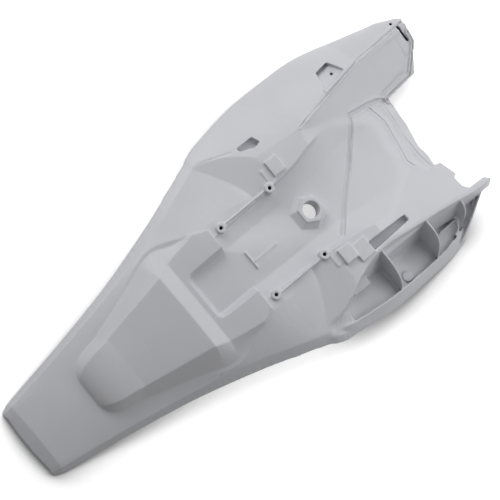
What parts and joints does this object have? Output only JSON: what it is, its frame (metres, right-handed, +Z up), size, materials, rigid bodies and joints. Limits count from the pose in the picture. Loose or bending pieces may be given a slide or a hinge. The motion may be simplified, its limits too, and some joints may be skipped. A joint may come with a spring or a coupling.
{
  "type": "motorcycle rear fender",
  "caption": "One-piece moulded rear fender with a tail blade, raised plateau, screw-boss tray, hexagonal boss and side panels.",
  "frame": {"origin": "middle of the footprint, at the height of the lowest edge", "axes": "+X forward, from the tail tip towards the rider; +Y to the rider's left; +Z up"},
  "size_m": [0.757, 0.346, 0.069],
  "materials": {
    "white_plastic": "satin moulded"
  },
  "bodies": {
    "root": {"rear_fender": "white_plastic"}
  },
  "joints": []
}
